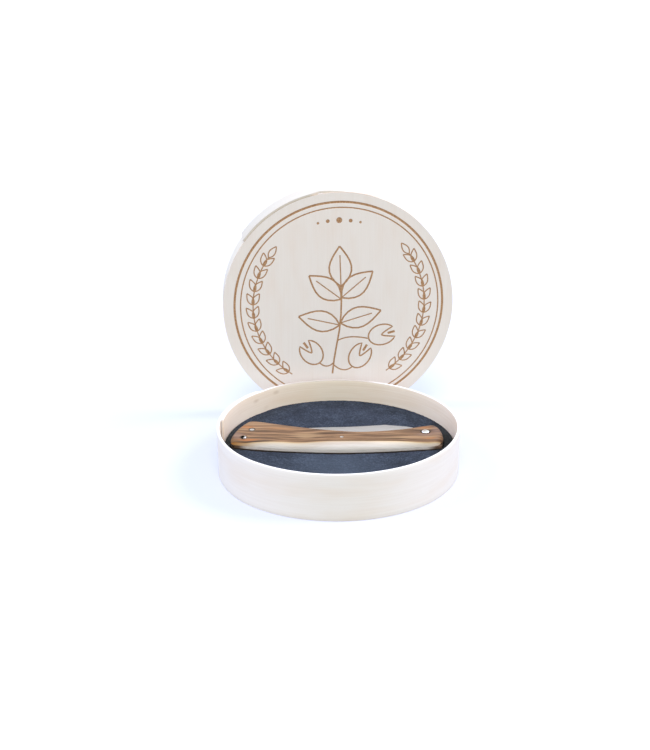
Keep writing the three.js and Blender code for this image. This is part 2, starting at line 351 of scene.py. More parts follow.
# Each sheet has colours of its own for its outer and inner face and for their dark streaks
def veneerMaterial(name, sheetLook):
    look = {**veneer, **sheetLook}
    material, tree, shader = newMaterial(name, {"Roughness": 0.68, "Specular IOR Level": 0.3})
    sheet = addNode(tree, "Attribute", attribute_name="sheet").outputs["Vector"]
    apart = addNode(tree, "SeparateXYZ", links={"Vector": sheet})
    streaks = stretchedNoise(tree, sheet, look["streakSize"], Detail=4, Roughness=0.62)
    inner, outer = [addNode(tree, "ValToRGB", links={"Fac": streaks.outputs["Fac"]}, stops=[
        (0.3, look[face + "Dark"]), (0.7, look[face])]) for face in ("inner", "outer")]
    side = addNode(tree, "MapRange", links={"Value": apart.outputs["Z"]}, values={
        "From Min": look["faces"][0], "From Max": look["faces"][1]})
    wood = addNode(tree, "MixRGB", links={
        "Fac": side.outputs["Result"], "Color1": inner.outputs["Color"],
        "Color2": outer.outputs["Color"]}).outputs["Color"]
    if "lapShade" in look:
        # Painted shade: the lap, high on the lid, is made a little greyer
        start, end, grey = look["lapShade"]
        inLap = addNode(tree, "MapRange", links={"Value": apart.outputs["X"]}, values={
            "From Min": start, "From Max": end})
        wood = addNode(tree, "MixRGB", blend_type="MULTIPLY", links={
            "Fac": inLap.outputs["Result"], "Color1": wood},
            values={"Color2": linear(grey)}).outputs["Color"]
    if "rim" in look:
        wood = paintRim(tree, wood, apart, look["rim"])
    patches = stretchedNoise(tree, sheet, look["patchSize"], Detail=2, Roughness=0.5)
    warmth = addNode(tree, "MapRange", links={"Value": patches.outputs["Fac"]}, values={
        "From Min": 0.45, "From Max": 0.75, "To Max": look["warmth"]})
    wood = addNode(tree, "MixRGB", blend_type="MULTIPLY", links={
        "Fac": warmth.outputs["Result"], "Color1": wood},
        values={"Color2": linear(look["warm"])}).outputs["Color"]
    flecks = [(x, y, *look["fleckSize"], strength) for x, y, strength in look.get("flecks", [])]
    wood = paintSpots(tree, wood, sheet, flecks, look["fleckFade"], look["fleckColour"])
    if "burnt" in look:
        wood = paintScorch(tree, wood, sheet, apart, look["burnt"])
    dress(tree, shader, wood, streaks.outputs["Fac"], strength=0.5, depth=look["grainDepth"])
    return material


# Keeps where each point lies on the flat sheet, in millimetres, fibre first
def rememberSheet(piece, fibreAcross=False):
    spots = piece.data.attributes.new("sheet", "FLOAT_VECTOR", "POINT")
    for vertex, spot in zip(piece.data.vertices, spots.data):
        x, y, z = vertex.co / mm
        spot.vector = (y, x, z) if fibreAcross else (x, y, z)


# A bent strip is drawn flat, as it is cut: a long grid with a thickness and slightly rounded
# arrises. Then it is bent round, once and a little more, over its own start.

def bentStrip(name, look, shift, upperEdge):
    turnLength = math.radians(1) * look["innerRadius"]
    length = turnLength * (360 + look["lap"])
    height = look["top"] - look["bottom"]
    bpy.ops.object.select_all(action="DESELECT")
    bpy.ops.mesh.primitive_grid_add(x_subdivisions=look["steps"], y_subdivisions=look["rows"], size=1)
    strip = bpy.context.object
    strip.name = name
    strip.scale = (length * mm, height * mm, 1)
    strip.location = (length / 2 * mm, (look["bottom"] + height / 2) * mm, 0)
    bpy.ops.object.transform_apply(location=True, scale=True)
    applyModifier(strip, "SOLIDIFY", thickness=look["thickness"] * mm, offset=1)
    easeEdges(strip, look["arris"], segments=3)
    rememberSheet(strip)
    for vertex in strip.data.vertices:
        x, y, z = vertex.co / mm
        run = x / turnLength
        share = (y - look["bottom"]) / height
        level = look["bottom"] + share * (upperEdge(run) - look["bottom"])
        # The upper edge waves a little, every 17 degrees or so, and less and less down the wall
        wave = 0.5 + noise.noise(Vector((run / 17, look["seed"], 0)))
        level -= look["edgeWave"] * smoothStep(share, 0.6, 1) * wave
        angle = math.radians(look["innerEnd"] + look["direction"] * run)
        radius = look["innerRadius"] + shift(run) + z
        vertex.co = (radius * math.cos(angle) * mm, radius * math.sin(angle) * mm, level * mm)
    if look["direction"] < 0:
        strip.data.flip_normals()
    return strip


# The base's strip. Its inner layer dips inside the lap, and the wall is a little flat there.

baseStrip = {
    "innerRadius": 56.35,
    "innerEnd": 177,  # degrees round the box
    "lap": 42,  # degrees past a full turn
    "direction": -1,
    "dip": 1.3,  # mm, how far the inner end lies inside the full circle
    "climb": 16,  # degrees in which it comes out to that circle
    "flatness": 1.3,  # mm
    "flatReach": 50,  # degrees each way
    "bottom": 0,
    "top": 22,
    "thickness": 1.15,
    "arris": 0.2,
    "edgeWave": 0.12,
    "seed": 3,
    "steps": 440,
    "rows": 10,
}

baseWood = {
    "outer": "#F0EBEB",
    "outerDark": "#ECE6E5",
    "inner": "#F5E6D6",
    "innerDark": "#ECDAC6",
    "rim": {
        "levels": (baseStrip["top"] - 0.4, baseStrip["top"] - 0.15),
        "pale": "#F2EEED",
        "darkerTone": "#CCC2BA",
        "darkerMiddle": 80,  # mm along the strip
        "darkerReach": (34, 17),
    },
    "flecks": [(52.4, 19, 0.3), (38.6, 18, 0.28), (45.5, 12.5, 0.12)],  # x, y and strength
}


def baseShift(run):
    look = baseStrip
    dip = look["dip"] * (1 - smoothStep(run, look["lap"], look["lap"] + look["climb"]))
    turned = (look["innerEnd"] - run) % 360 - 180
    flat = math.cos(min(abs(turned) / look["flatReach"], 1) * math.pi / 2) ** 2
    return -dip - look["flatness"] * flat


baseWall = bentStrip("base_wall", baseStrip, baseShift, lambda run: baseStrip["top"])
smooth(baseWall, 40)
finishPiece(baseWall, "box", "base_band",
            veneerMaterial("poplar veneer, raw, base wall", baseWood))
print("base wall bent")


# The base's floor: a veneer disc under the foam, with its edge eased

floorWood = {
    "outer": "#EDE6DC",
    "outerDark": "#E2D8CB",
    "inner": "#EDE6DC",
    "innerDark": "#E2D8CB",
    "faces": (0, 1.2),
    "warm": "#F3E3CF",
    "warmth": 0.5,
}

baseFloor = copyOfNode("base_floor", "base_bottom")
easeEdges(baseFloor, 0.12)
rememberSheet(baseFloor)
smooth(baseFloor)
finishPiece(baseFloor, "box", "base_floor",
            veneerMaterial("poplar veneer, raw, base floor", floorWood))
print("base floor eased")


# The lid is drawn face up round its own axis, then stood on its rim and turned a little. The
# outer end of its strip, past a full turn, reaches up to the face and lies over the inner end.

lid = {
    "centre": (1.2, 63.4, 59.3),
    "turn": 6.5,  # degrees
    "radius": 59.3,
    "discThickness": 1.2,
    "discSides": 288,
    "discArris": 0.06,
}

lidStrip = {
    "innerRadius": 58.15,
    "innerEnd": 100,  # degrees round the lid
    "lap": 43,  # degrees past a full turn
    "direction": 1,
    "lift": 1.2,  # mm, how far the outer end lies outside the full circle
    "climb": 16,  # degrees in which it gets there
    "bottom": -17,
    "top": -1.5,
    "lapTop": 0,
    "lapRise": 4,  # degrees
    "thickness": 1.15,
    "arris": 0.1,
    "edgeWave": 0.1,
    "seed": 8,
    "steps": 440,
    "rows": 8,
}

lidWood = {
    "outer": "#DFD9D3",
    "outerDark": "#DAD3CC",
    "inner": "#ECE2D6",
    "innerDark": "#E2D4C3",
    "lapShade": (350, 364, "#F2F1F2"),  # painted shade on the lap: mm along the strip, from its start to full, and colour
}


def standLid(piece):
    place = (
        Matrix.Translation(Vector(lid["centre"]) * mm)
        @ Matrix.Rotation(math.radians(lid["turn"]), 4, "Z")
        @ Matrix.Rotation(math.radians(90), 4, "X")
    )
    piece.data.transform(place)


def lidShift(run):
    return lidStrip["lift"] * smoothStep(run, 360 - lidStrip["climb"], 360)


def lidEdge(run):
    rise = smoothStep(run, 360, 360 + lidStrip["lapRise"])
    return lidStrip["top"] + rise * (lidStrip["lapTop"] - lidStrip["top"])


lidWall = bentStrip("lid_wall", lidStrip, lidShift, lidEdge)
standLid(lidWall)
smooth(lidWall, 40)
finishPiece(lidWall, "box", "lid_band",
            veneerMaterial("poplar veneer, raw, lid wall", lidWood))
print("lid wall bent")


# The lid's disc, laser-engraved with two plain rings, two laurel sprays and a pistachio sprig.
# Each stroke is a flattened tube that is cut out of the face.

engraving = {
    "depth": 0.16,
    "rings": [((0.1, 0.85), 53.6, 1.3), ((0.5, 0.75), 50.95, 0.75)],  # centre, radius, line width
    "sprayCentre": (0.1, 1.1),
    "line": 1.0,
    "fineLine": 0.7,
    "sprayRadius": 44.2,
    "sprayTip": 36,  # degrees, from the lid's right-hand side
    "sprayFoot": -56,
    "sprayPairs": 10,
    "sprayLean": 29,  # degrees between a leaf and the stem
    "leafLength": 7.0,
    "leafWidth": 3.1,
    "dots": [(90, 1.5), (82.5, 0.95), (97.5, 0.95), (76, 0.65), (104, 0.65)],  # degrees and radius
    "stem": [(-3.5, -36), (-2.6, -28), (-1.2, -20), (0.2, -12), (1, -4), (1.2, 4), (1, 11)],
    "leaves": [  # foot, heading in degrees, length and width
        ((1.0, 11.0), 92, 21, 11.5),
        ((1.2, 5.0), 40, 21, 11),
        ((1.2, 4.2), 142, 21, 11),
        ((0.6, -8.5), 16, 22, 11),
        ((0.4, -9.6), 166, 22, 11),
    ],
    "nuts": [  # middle, heading in degrees, length and width
        ((11, -26.6), 58, 14.5, 11),
        ((22.5, -15.6), 14, 14.5, 11),
        ((-14.5, -24), 126, 14.5, 11),
    ],
    "stalks": [  # where each leaves the stem, two points that bend it, and its nut's foot
        [(-3, -31), (0, -34.5), (4, -35.5), (7.1, -32.5)],
        [(-0.9, -18), (4, -15.5), (9, -16), (15.1, -17.4)],
        [(-2.9, -30), (-5, -32.5), (-8, -32.5), (-10.2, -29.8)],
    ],
}


def onCircle(centre, radius, degrees):
    angle = math.radians(degrees)
    return (centre[0] + radius * math.cos(angle), centre[1] + radius * math.sin(angle))


# Where a shape's length points, and the direction across it
def headings(degrees):
    angle = math.radians(degrees)
    along = Vector((math.cos(angle), math.sin(angle)))
    return along, Vector((-along.y, along.x))


# One side of a leaf, from its foot to its tip, bowed to the left or, with bow below 0, right
def leafSide(foot, degrees, length, bow, steps=8):
    along, across = headings(degrees)
    return [tuple(Vector(foot) + along * length * i / steps
                  + across * bow * math.sin(math.pi * (i / steps) ** 0.85))
            for i in range(steps + 1)]


def leafStrokes(foot, degrees, length, width, line, vein=0.0):
    strokes = [(leafSide(foot, degrees, length, side * width / 2), line, False) for side in (1, -1)]
    if vein:
        strokes.append((leafSide(foot, degrees, length * vein, 0), line * 0.7, False))
    return strokes


# A split nut: each half shell runs round from the foot to a lip near the tip, and back along
# the split, in which the kernel lies. Places are shares of its half length and half width.
def nutStrokes(centre, degrees, length, width, line):
    along, across = headings(degrees)
    shellTurn, lip, splitFoot, splitWidth, kernel = 150, 0.87, -0.05, 0.5, (0.42, 0.95)

    def place(share, side):
        return tuple(Vector(centre) + along * length / 2 * share + across * width / 2 * side)

    strokes = []
    for side in (1, -1):
        turns = [math.radians(180 - shellTurn * i / 12) for i in range(13)]
        shell = [place(math.cos(turn), side * math.sin(turn)) for turn in turns]
        split = [place(lip + (splitFoot - lip) * i / 6, side * splitWidth * (1 - i / 6) ** 0.7)
                 for i in range(7)]
        strokes.append((shell + split[1:], line * 0.9, False))
    strokes.append(([place(share, 0) for share in kernel], line * 1.4, False))
    return strokes


def sprayStrokes(look, mirrored):
    sweep = look["sprayTip"] - look["sprayFoot"]

    def place(angle, radius):
        return onCircle(look["sprayCentre"], radius, 180 - angle if mirrored else angle)

    def leaf(angle, radius, lean):
        heading = angle + 90 + lean
        return leafStrokes(place(angle, radius), 180 - heading if mirrored else heading,
                           look["leafLength"], look["leafWidth"], look["fineLine"])

    stem = [place(look["sprayTip"] - sweep * i / 30, look["sprayRadius"]) for i in range(31)]
    strokes = [(stem, look["fineLine"], False)] + leaf(look["sprayTip"], look["sprayRadius"], 0)
    for pair in range(look["sprayPairs"]):
        angle = look["sprayTip"] - sweep * (pair + 0.7) / look["sprayPairs"]
        for side in (1, -1):
            strokes += leaf(angle, look["sprayRadius"] + 0.25 * side, look["sprayLean"] * side)
    return strokes


def sprigStrokes(look):
    line = look["line"]
    strokes = [(look["stem"], line, False)]
    for foot, degrees, length, width in look["leaves"]:
        strokes += leafStrokes(foot, degrees, length, width, line, vein=0.78)
    for centre, degrees, length, width in look["nuts"]:
        strokes += nutStrokes(centre, degrees, length, width, line)
    for stalk in look["stalks"]:
        bend = interpolate_bezier(*[Vector(point) for point in stalk], 12)
        strokes.append(([tuple(point) for point in bend], line * 0.8, False))
    return strokes


# A stroke is a tube of half round section, flattened so that it bites to the engraving's depth
def strokeCutter(points, width, closed, cutters):
    curve = bpy.data.curves.new("stroke", "CURVE")
    curve.dimensions = "3D"
    spline = curve.splines.new("POLY")
    spline.points.add(len(points) - 1)
    for spot, (x, y) in zip(spline.points, points):
        spot.co = (x * mm, y * mm, 0, 1)
    spline.use_cyclic_u = closed
    curve.bevel_depth = width / 2 * mm
    curve.bevel_resolution = 2
    curve.use_fill_caps = not closed
    cutter = bpy.data.objects.new("stroke", curve)
    cutters.objects.link(cutter)
    makeActive(cutter)
    bpy.ops.object.convert(target="MESH")
    cutter.data.transform(Matrix.Diagonal((1, 1, engraving["depth"] / (width / 2), 1)))
    bpy.ops.object.mode_set(mode="EDIT")
    bpy.ops.mesh.select_all(action="SELECT")
    bpy.ops.mesh.remove_doubles(threshold=0.0005 * mm)
    bpy.ops.mesh.normals_make_consistent(inside=False)
    bpy.ops.object.mode_set(mode="OBJECT")


def engrave(disc, look):
    cutters = bpy.data.collections.new("strokes")
    bpy.context.scene.collection.children.link(cutters)
    strokes = sprayStrokes(look, False) + sprayStrokes(look, True) + sprigStrokes(look)
    for centre, radius, width in look["rings"]:
        ring = [onCircle(centre, radius, 1.5 * i) for i in range(240)]
        strokes.append((ring, width, True))
    for points, width, closed in strokes:
        strokeCutter(points, width, closed, cutters)
    for angle, radius in look["dots"]:
        x, y = onCircle(look["sprayCentre"], look["sprayRadius"], angle)
        bpy.ops.object.select_all(action="DESELECT")
        bpy.ops.mesh.primitive_cylinder_add(vertices=32, radius=radius * mm,
                                            depth=2 * look["depth"] * mm, location=(x * mm, y * mm, 0))
        dot = bpy.context.object
        for holder in list(dot.users_collection):
            holder.objects.unlink(dot)
        cutters.objects.link(dot)
    applyModifier(disc, "BOOLEAN", operation="DIFFERENCE", operand_type="COLLECTION",
                  collection=cutters, solver="MANIFOLD")
    for cutter in list(cutters.objects):
        bpy.data.objects.remove(cutter)
    bpy.data.collections.remove(cutters)


def makeLidDisc():
    bpy.ops.object.select_all(action="DESELECT")
    bpy.ops.mesh.primitive_cylinder_add(
        vertices=lid["discSides"], radius=lid["radius"] * mm, depth=lid["discThickness"] * mm,
        location=(0, 0, -lid["discThickness"] / 2 * mm))
    disc = bpy.context.object
    disc.name = "lid_face"
    bpy.ops.object.transform_apply(location=True)
    easeEdges(disc, lid["discArris"])
    engrave(disc, engraving)
    rememberSheet(disc, fibreAcross=True)
    standLid(disc)
    smooth(disc, 20)
    return disc


discWood = {
    "outer": "#EDE5E3",
    "outerDark": "#EAE1DE",
    "inner": "#ECE2D6",
    "innerDark": "#E2D4C3",
    "faces": (-0.9, -0.4),
    "warm": "#F8EAE0",
    "warmth": 0.25,
    "burnt": {
        "dark": "#9E7452",
        "light": "#BD9674",
        "charSize": 0.714,
        "depths": [(-0.02, -0.07), (-0.6, -0.5)],  # mm, between the face and the back
        "rim": (0, 0, 1, 1, 0.5),  # a spot turned inside out: nothing within the fade, full past it
        "rimFade": (lid["radius"] - 0.12, lid["radius"] - 0.02),
        "rimTop": (lid["radius"], 9, 1, 1, 1),
        "rimTopFade": (18, 5),
    },
}

lidDisc = makeLidDisc()
finishPiece(lidDisc, "box", "lid_disc",
            veneerMaterial("poplar veneer, raw, laser-engraved lid", discWood))
print("lid engraved:", len(lidDisc.data.polygons), "faces")


# Foam: cross-linked polyethylene, slate grey, cut with a pocket for the knife. Its skin is all
# small burst cells, so it is matt and mottled, and the cut edges are soft.

foamLook = {
    "voxel": 0.6,  # mm
    "cellWidth": 1.5,
    "cellDepth": 0.1,
    "swellWidth": 16,
    "swell": 0.16,
    "pitSize": 0.8,
    "pitDepth": 0.3,
    "cloudSize": 9,
    "cloudShare": 0.45,
    "paleFront": (0, -27, 1, 1, 0.4),  # paler in front of the knife
    "paleFrontFade": (30, 6),
    "shadedKnifeEnds": (44, 52),  # painted shade beyond both ends of the knife, darker and less blue, with the wood's colour as a painted reflection
}


def foamMaterial(look):
    material, tree, shader = newMaterial("polyethylene foam, slate grey, cut cells", {
        "Roughness": 0.95, "Specular IOR Level": 0.15})
    place = placeInMillimetres(tree)
    pits = stretchedNoise(tree, place, [look["pitSize"]] * 3, Detail=3, Roughness=0.7)
    clouds = stretchedNoise(tree, place, [look["cloudSize"]] * 3, Detail=3, Roughness=0.6)
    mixed = addNode(tree, "Math", operation="MULTIPLY_ADD", links={
        0: clouds.outputs["Fac"], 2: pits.outputs["Fac"]}, values={1: look["cloudShare"]})
    grey = addNode(tree, "ValToRGB", links={"Fac": mixed.outputs[0]}, stops=[
        (0.5, "#20252C"), (0.725, "#303642"), (0.95, "#48515F")])
    paleFront = paintSpots(tree, grey.outputs["Color"], place, [look["paleFront"]],
                         look["paleFrontFade"], "#4B5563")
    across = addNode(tree, "SeparateXYZ", links={"Vector": place})
    # Painted shade and a painted reflection of the wood beyond the knife's ends
    shadeAlongKnife = addNode(tree, "MixRGB", blend_type="MULTIPLY", links={
        "Fac": bandMask(tree, across.outputs["X"], look["shadedKnifeEnds"]), "Color1": paleFront},
        values={"Color2": linear("#ECE0C6")})
    dress(tree, shader, shadeAlongKnife.outputs["Color"], pits.outputs["Fac"], strength=1.0,
          depth=look["pitDepth"])
    return material


def makeFoam(look):
    foam = copyOfNode("foam_insert", "foam_block")
    applyModifier(foam, "REMESH", mode="VOXEL", voxel_size=look["voxel"] * mm)
    foam.data.update()
    moves = []
    for vertex in foam.data.vertices:
        spot = vertex.co / mm
        cell = noise.noise(spot / look["cellWidth"]) * look["cellDepth"]
        swell = (noise.noise(spot / look["swellWidth"] + Vector((7, 3, 1))) - 0.5) * look["swell"]
        moves.append(vertex.normal * (cell - look["cellDepth"] * 0.5 + swell * abs(vertex.normal.z)))
    for vertex, move in zip(foam.data.vertices, moves):
        vertex.co += move * mm
    smooth(foam, 180)
    return foam


foam = makeFoam(foamLook)
finishPiece(foam, "box", "foam_insert", foamMaterial(foamLook))
print("foam cut:", len(foam.data.polygons), "faces")


# Handle: pistachio wood, oiled and polished. The heartwood is greyish brown with long wavy dark
# lines, and the sapwood along the knife's back edge is cream. The colours follow the layers of
# the wood, which slant down through the handle from its face to that edge.

knife = {
    "scaleThickness": 3.5,
    "roundingWidth": 2.2,
    "roundingHeight": 3.1,
    "roundingSteps": 9,
    "lowerScaleTop": 11.05,
    "upperScaleBottom": 12.5,
    "pivot": (42, 2.6),
    "buttPin": (-40.5, 5.5),
    "middlePin": (2.2, -3.4),
    "lanyardHole": (-43.8, -3.6),
    "holeRadius": {"pivot": 2.2, "buttPin": 1.4, "middlePin": 0.97, "lanyardHole": 1.5},
    "solidsHoles": 2,  # the holes in the frame's solids are within this of their middles
}
topFace = knife["upperScaleBottom"] + knife["scaleThickness"]
middleHeight = (knife["lowerScaleTop"] + knife["upperScaleBottom"]) / 2

handleLook = {
    "sapEdge": -8.3,  # mm, where the sapwood meets the handle's face
    "allHeart": -30,
    "sapSlope": 1.0,
    "bulgeAt": -17,  # the heartwood bulges near this place along the knife
    "bulgeReach": (16, 0),
    "bulge": 1.2,
    "wander": 1.3,
    "wanderSize": (22, 9, 9),
    "boundary": 0.18,  # half the width of the change from heartwood to sapwood
    "endReach": (42, 50),  # the boundary rises between these distances from the middle
    "endRise": 1.2,
    "streakSize": (26, 1.6, 1),  # mm along and across, twice as wide as the real ones, to show
    "poreSize": (14, 0.55, 1),
    "poreDepth": 0.03,
    "wobbleSize": (9, 5, 1),
    "wobble": (1, 0.6, 0),  # mm each way, in the figure
    "heartStops": (0.36, 0.47, 0.55, 0.66),
    "sapDepth": 7,  # mm below the heartwood over which these colours run
    # paler down the rounded side: partly the sapwood's own paling, partly painted light on the lower
    # side
    "sapAndPaintedLightStops": [(0.0, "#CBAA78"), (0.12, "#D8C9B2"), (0.36, "#EBE4DC"), (0.6, "#F6F1EC"),
                 (0.82, "#FCF7F2")],
    "sapTip": (-36.5, -50.5),  # the sapwood turns amber between these
    "darkerMiddle": (28, 8),  # it is painted darker, as shade, within these distances from the middle
    "shadeFaceDepths": (1.7, 0.6),  # most of all above these depths below the handle's face
    "shadeSideShare": 0.4,  # and by this share under them
    "pivotEnd": (47.5, 48.3),  # heartwood comes round the end between these, painted dark with the end's shade too
    "pivotSlant": 0.7,  # and further on for each mm above or below the handle's middle
    "shadeRingWidth": 0.7,
    "pinShadeRings": {"pivot": 0.8, "buttPin": 0.6, "lanyardHole": 0.5},  # strength of the painted shade round each of these holes
    # Figure of the heartwood, with a painted sheen at both ends, as a colour and its spots: each
    # one's place along the knife, depth from the sapwood, half length, half width and strength
    "spotFade": (1.15, 0.2),
    "figure": [
        # Grey: a painted sheen on the handle's rounded ends, where they catch the light
        ("#80675F", [  # grey
            (-47.5, 6.0, 5, 4.5, 0.6),
            (42, 7.5, 6, 2.2, 0.5),
            (48, 11, 4, 7, 0.5),
        ]),
        ("#A88B68", [  # pale
            (-14, 7.2, 8, 4.4, 0.45),
            (28, 3.6, 20, 0.9, 0.4),
        ]),
        ("#AC6A36", [  # amber
            (-43, 16.5, 5, 2.0, 0.6),
            (-41.5, 1.9, 6.5, 0.9, 0.9),
            (-27, 15, 9, 1.2, 0.35),
            (43.5, 3.2, 4.5, 0.9, 0.5),
            (42, 15.8, 4, 1.5, 0.5),
        ]),
        ("#3C291E", [  # dark lines
            (-38, 0.6, 13, 1.0, 0.9),
            (-16, 0.9, 12, 0.7, 0.6),
            (14, 0.7, 34, 0.8, 0.6),
            (-36, 4.1, 12, 0.7, 1.0),
            (-22, 4.9, 9, 0.6, 0.9),
            (-6, 4.6, 9, 0.7, 0.8),
            (-28, 7.3, 12, 0.6, 0.6),
            (26, 6.2, 24, 0.9, 0.55),
            (-38, 12.0, 12, 0.8, 0.7),
            (-24, 10.6, 10, 0.6, 0.6),
            (-4, 10.2, 14, 0.6, 0.5),
            (36, 10.5, 9, 0.6, 0.6),
            (30, 13.0, 12, 0.7, 0.4),
        ]),
    ],
}


# How deep a point lies in the heartwood, in mm, and negative in the sapwood. The boundary slants
# down from the handle's face. It wanders a little, bulges once and rises at both ends.
def heartwoodDepth(tree, place, apart, outward, sapEdge):
    look = handleLook
    slope = addNode(tree, "Math", operation="MULTIPLY_ADD", links={
        0: outward, 2: apart.outputs["Y"]}, values={1: look["sapSlope"]})
    wander = stretchedNoise(tree, place, look["wanderSize"], Detail=2)
    wandered = addNode(tree, "Math", operation="MULTIPLY_ADD", links={
        0: wander.outputs["Fac"], 2: slope.outputs[0]}, values={1: look["wander"]})
    bulge = bandMask(tree, apart.outputs["X"], look["bulgeReach"], look["bulgeAt"], look["bulge"])
    bulged = addNode(tree, "Math", operation="ADD", links={0: wandered.outputs[0], 1: bulge})
    rise = bandMask(tree, apart.outputs["X"], look["endReach"], strength=look["endRise"])
    risen = addNode(tree, "Math", operation="SUBTRACT", links={0: bulged.outputs[0], 1: rise})
    edge = sapEdge + look["sapSlope"] * (topFace - middleHeight) + look["wander"] / 2
    return addNode(tree, "Math", operation="SUBTRACT", links={0: risen.outputs[0]},
                   values={1: edge}).outputs[0]


# Soft streaks along the fibre, then the wood's figure, which wobbles, and a painted sheen at the ends
def heartwoodColour(tree, layers, streaks, heartTones):
    look = handleLook
    heart = addNode(tree, "ValToRGB", links={"Fac": streaks},
                    stops=list(zip(look["heartStops"], heartTones)))
    noisy = stretchedNoise(tree, layers, look["wobbleSize"], Detail=2)
    warped = addNode(tree, "VectorMath", operation="MULTIPLY_ADD", links={
        0: noisy.outputs["Color"], 2: layers}, values={1: [2 * reach for reach in look["wobble"]]})
    centred = addNode(tree, "VectorMath", operation="SUBTRACT", links={0: warped.outputs[0]},
                      values={1: look["wobble"]})
    colour = heart.outputs["Color"]
    for tint, spots in look["figure"]:
        colour = paintSpots(tree, colour, centred.outputs[0], spots, look["spotFade"], tint)
    return colour


# Yellow at the heartwood, then ever paler, partly as the sapwood pales and partly as painted light
# that keeps the lower, rounded side bright, and amber at the butt's tip. Its middle is painted
# darker as shade, most of all at the handle's face.
def sapwoodColour(tree, apart, depth, streaks):
    look = handleLook
    inward = addNode(tree, "MapRange", links={"Value": depth}, values={
        "From Min": 0, "From Max": -look["sapDepth"]})
    sap = addNode(tree, "ValToRGB", links={"Fac": inward.outputs["Result"]}, stops=look["sapAndPaintedLightStops"])
    grain = addNode(tree, "ValToRGB", links={"Fac": streaks},
                    stops=[(0.35, "#F0EAE4"), (0.6, "#FFFFFF")])
    streaked = addNode(tree, "MixRGB", blend_type="MULTIPLY", links={
        "Color1": sap.outputs["Color"], "Color2": grain.outputs["Color"]}, values={"Fac": 0.8})
    tip = addNode(tree, "MapRange", interpolation_type="SMOOTHSTEP", links={
        "Value": apart.outputs["X"]}, values={
            "From Min": look["sapTip"][0], "From Max": look["sapTip"][1]})
    tipped = addNode(tree, "MixRGB", blend_type="MULTIPLY", links={
        "Fac": tip.outputs["Result"], "Color1": streaked.outputs["Color"]},
        values={"Color2": linear("#DCAD6A")})
    # Painted shade: the middle of the handle is darkened, most of all near its face
    nearFace = addNode(tree, "MapRange", interpolation_type="SMOOTHSTEP", links={
        "Value": apart.outputs["Z"]}, values={
            "From Min": topFace - look["shadeFaceDepths"][0], "From Max": topFace - look["shadeFaceDepths"][1],
            "To Min": look["shadeSideShare"]})
    darkened = addNode(tree, "Math", operation="MULTIPLY", links={
        0: bandMask(tree, apart.outputs["X"], look["darkerMiddle"]), 1: nearFace.outputs["Result"]})
    return addNode(tree, "MixRGB", blend_type="MULTIPLY", links={
        "Fac": darkened.outputs[0], "Color1": tipped.outputs["Color"]},
        values={"Color2": linear("#DAD4D1")}).outputs["Color"]


def handleMaterial(name, sapEdge, heartTones):
    look = handleLook
    material, tree, shader = newMaterial(name, {"Roughness": 0.56, "Specular IOR Level": 0.42})
    place = placeInMillimetres(tree)
    apart = addNode(tree, "SeparateXYZ", links={"Vector": place})
    outward = distanceFrom(tree, apart.outputs["Z"], middleHeight)
    depth = heartwoodDepth(tree, place, apart, outward, sapEdge)
    layers = addNode(tree, "CombineXYZ", links={"X": apart.outputs["X"], "Y": depth}).outputs[0]
    streaks = stretchedNoise(tree, layers, look["streakSize"], Detail=4, Roughness=0.6,
                             Distortion=0.4).outputs["Fac"]
    heart = heartwoodColour(tree, layers, streaks, heartTones)
    sap = sapwoodColour(tree, apart, depth, streaks)

    # Heartwood comes round the end at the pivot, and shows its dark end grain there. The end lies
    # in shade, and that shade is painted into the same dark colour.
    shallow = addNode(tree, "MapRange", interpolation_type="SMOOTHSTEP", links={"Value": depth},
                      values={"From Min": look["boundary"], "From Max": -look["boundary"]})
    slanted = addNode(tree, "Math", operation="MULTIPLY_ADD", links={
        0: outward, 2: apart.outputs["X"]}, values={1: -look["pivotSlant"]})
    pivotEnd = addNode(tree, "MapRange", interpolation_type="SMOOTHSTEP", links={
        "Value": slanted.outputs[0]}, values={
            "From Min": look["pivotEnd"][0], "From Max": look["pivotEnd"][1]})
    endGrainAndShade = addNode(tree, "Math", operation="MULTIPLY", links={
        0: pivotEnd.outputs["Result"], 1: shallow.outputs["Result"]})
    allHeart = addNode(tree, "MixRGB", links={"Fac": endGrainAndShade.outputs[0], "Color1": heart},
                       values={"Color2": linear("#4E3026")})
    inSap = addNode(tree, "Math", operation="SUBTRACT", use_clamp=True, links={
        0: shallow.outputs["Result"], 1: pivotEnd.outputs["Result"]})
    wood = addNode(tree, "MixRGB", links={
        "Fac": inSap.outputs[0], "Color1": allHeart.outputs["Color"],
        "Color2": sap}).outputs["Color"]
    # Painted shade: a dark ring round each pin, where the gap round it lies in shade
    for pin, strength in look["pinShadeRings"].items():
        radius = knife["holeRadius"][pin]
        wood = paintSpots(tree, wood, place, [(*knife[pin], 1, 1, strength)],
                          (radius + look["shadeRingWidth"], radius), "#2B211B")
    pores = stretchedNoise(tree, layers, look["poreSize"], Detail=2, Roughness=0.5)
    dress(tree, shader, wood, pores.outputs["Fac"], strength=0.5, depth=look["poreDepth"])
    return material


# A wooden scale starts as the flat outline of its solid's slot side, is extruded, rounded along
# its outer edge, stretched to its full thickness and drilled for the pins

def drill(piece, x, y, radius):
    bpy.ops.object.select_all(action="DESELECT")
    bpy.ops.mesh.primitive_cylinder_add(vertices=48, radius=radius * mm, depth=30 * mm,
                                        location=(x * mm, y * mm, middleHeight * mm))
    cutter = bpy.context.object
    applyModifier(piece, "BOOLEAN", operation="DIFFERENCE", object=cutter, solver="EXACT")
    bpy.data.objects.remove(cutter)


